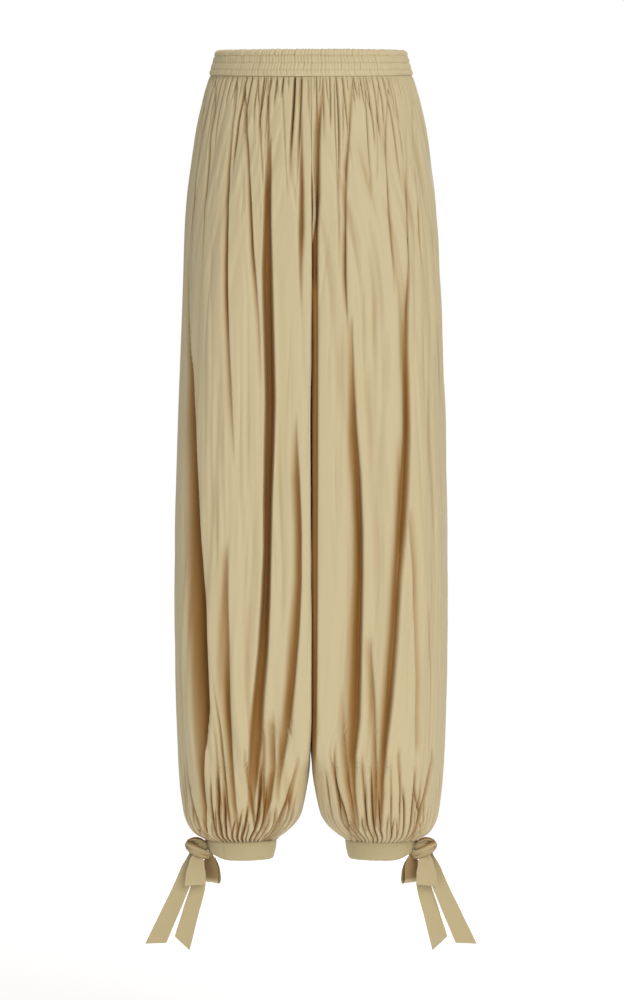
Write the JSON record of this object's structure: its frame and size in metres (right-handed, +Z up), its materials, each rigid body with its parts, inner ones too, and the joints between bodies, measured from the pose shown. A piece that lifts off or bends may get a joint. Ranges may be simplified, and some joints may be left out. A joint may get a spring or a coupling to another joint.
{
  "type": "bloomer trousers",
  "caption": "Long gathered bloomer trousers with a shirred elastic waistband and ankle cuffs that close with tied bows, hollow as worn.",
  "frame": {"origin": "centre of the waist, half way up the waistband", "axes": "+Z up, -Y to the front, +X to the garment's own left leg"},
  "size_m": [0.4364, 0.2655, 1.196],
  "materials": {
    "cloth": "satin",
    "waistband": "matte",
    "cuff": "matte",
    "tie": "satin"
  },
  "bodies": {
    "root": {"waistband": "waistband", "front_left": "cloth", "back_left": "cloth", "cuff_left": "cuff", "knot_left": "tie", "loop_front_left": "tie", "loop_back_left": "tie", "tail_outer_left": "tie", "tail_inner_left": "tie", "front_right": "cloth", "back_right": "cloth", "cuff_right": "cuff", "knot_right": "tie", "loop_front_right": "tie", "loop_back_right": "tie", "tail_outer_right": "tie", "tail_inner_right": "tie"}
  },
  "joints": []
}
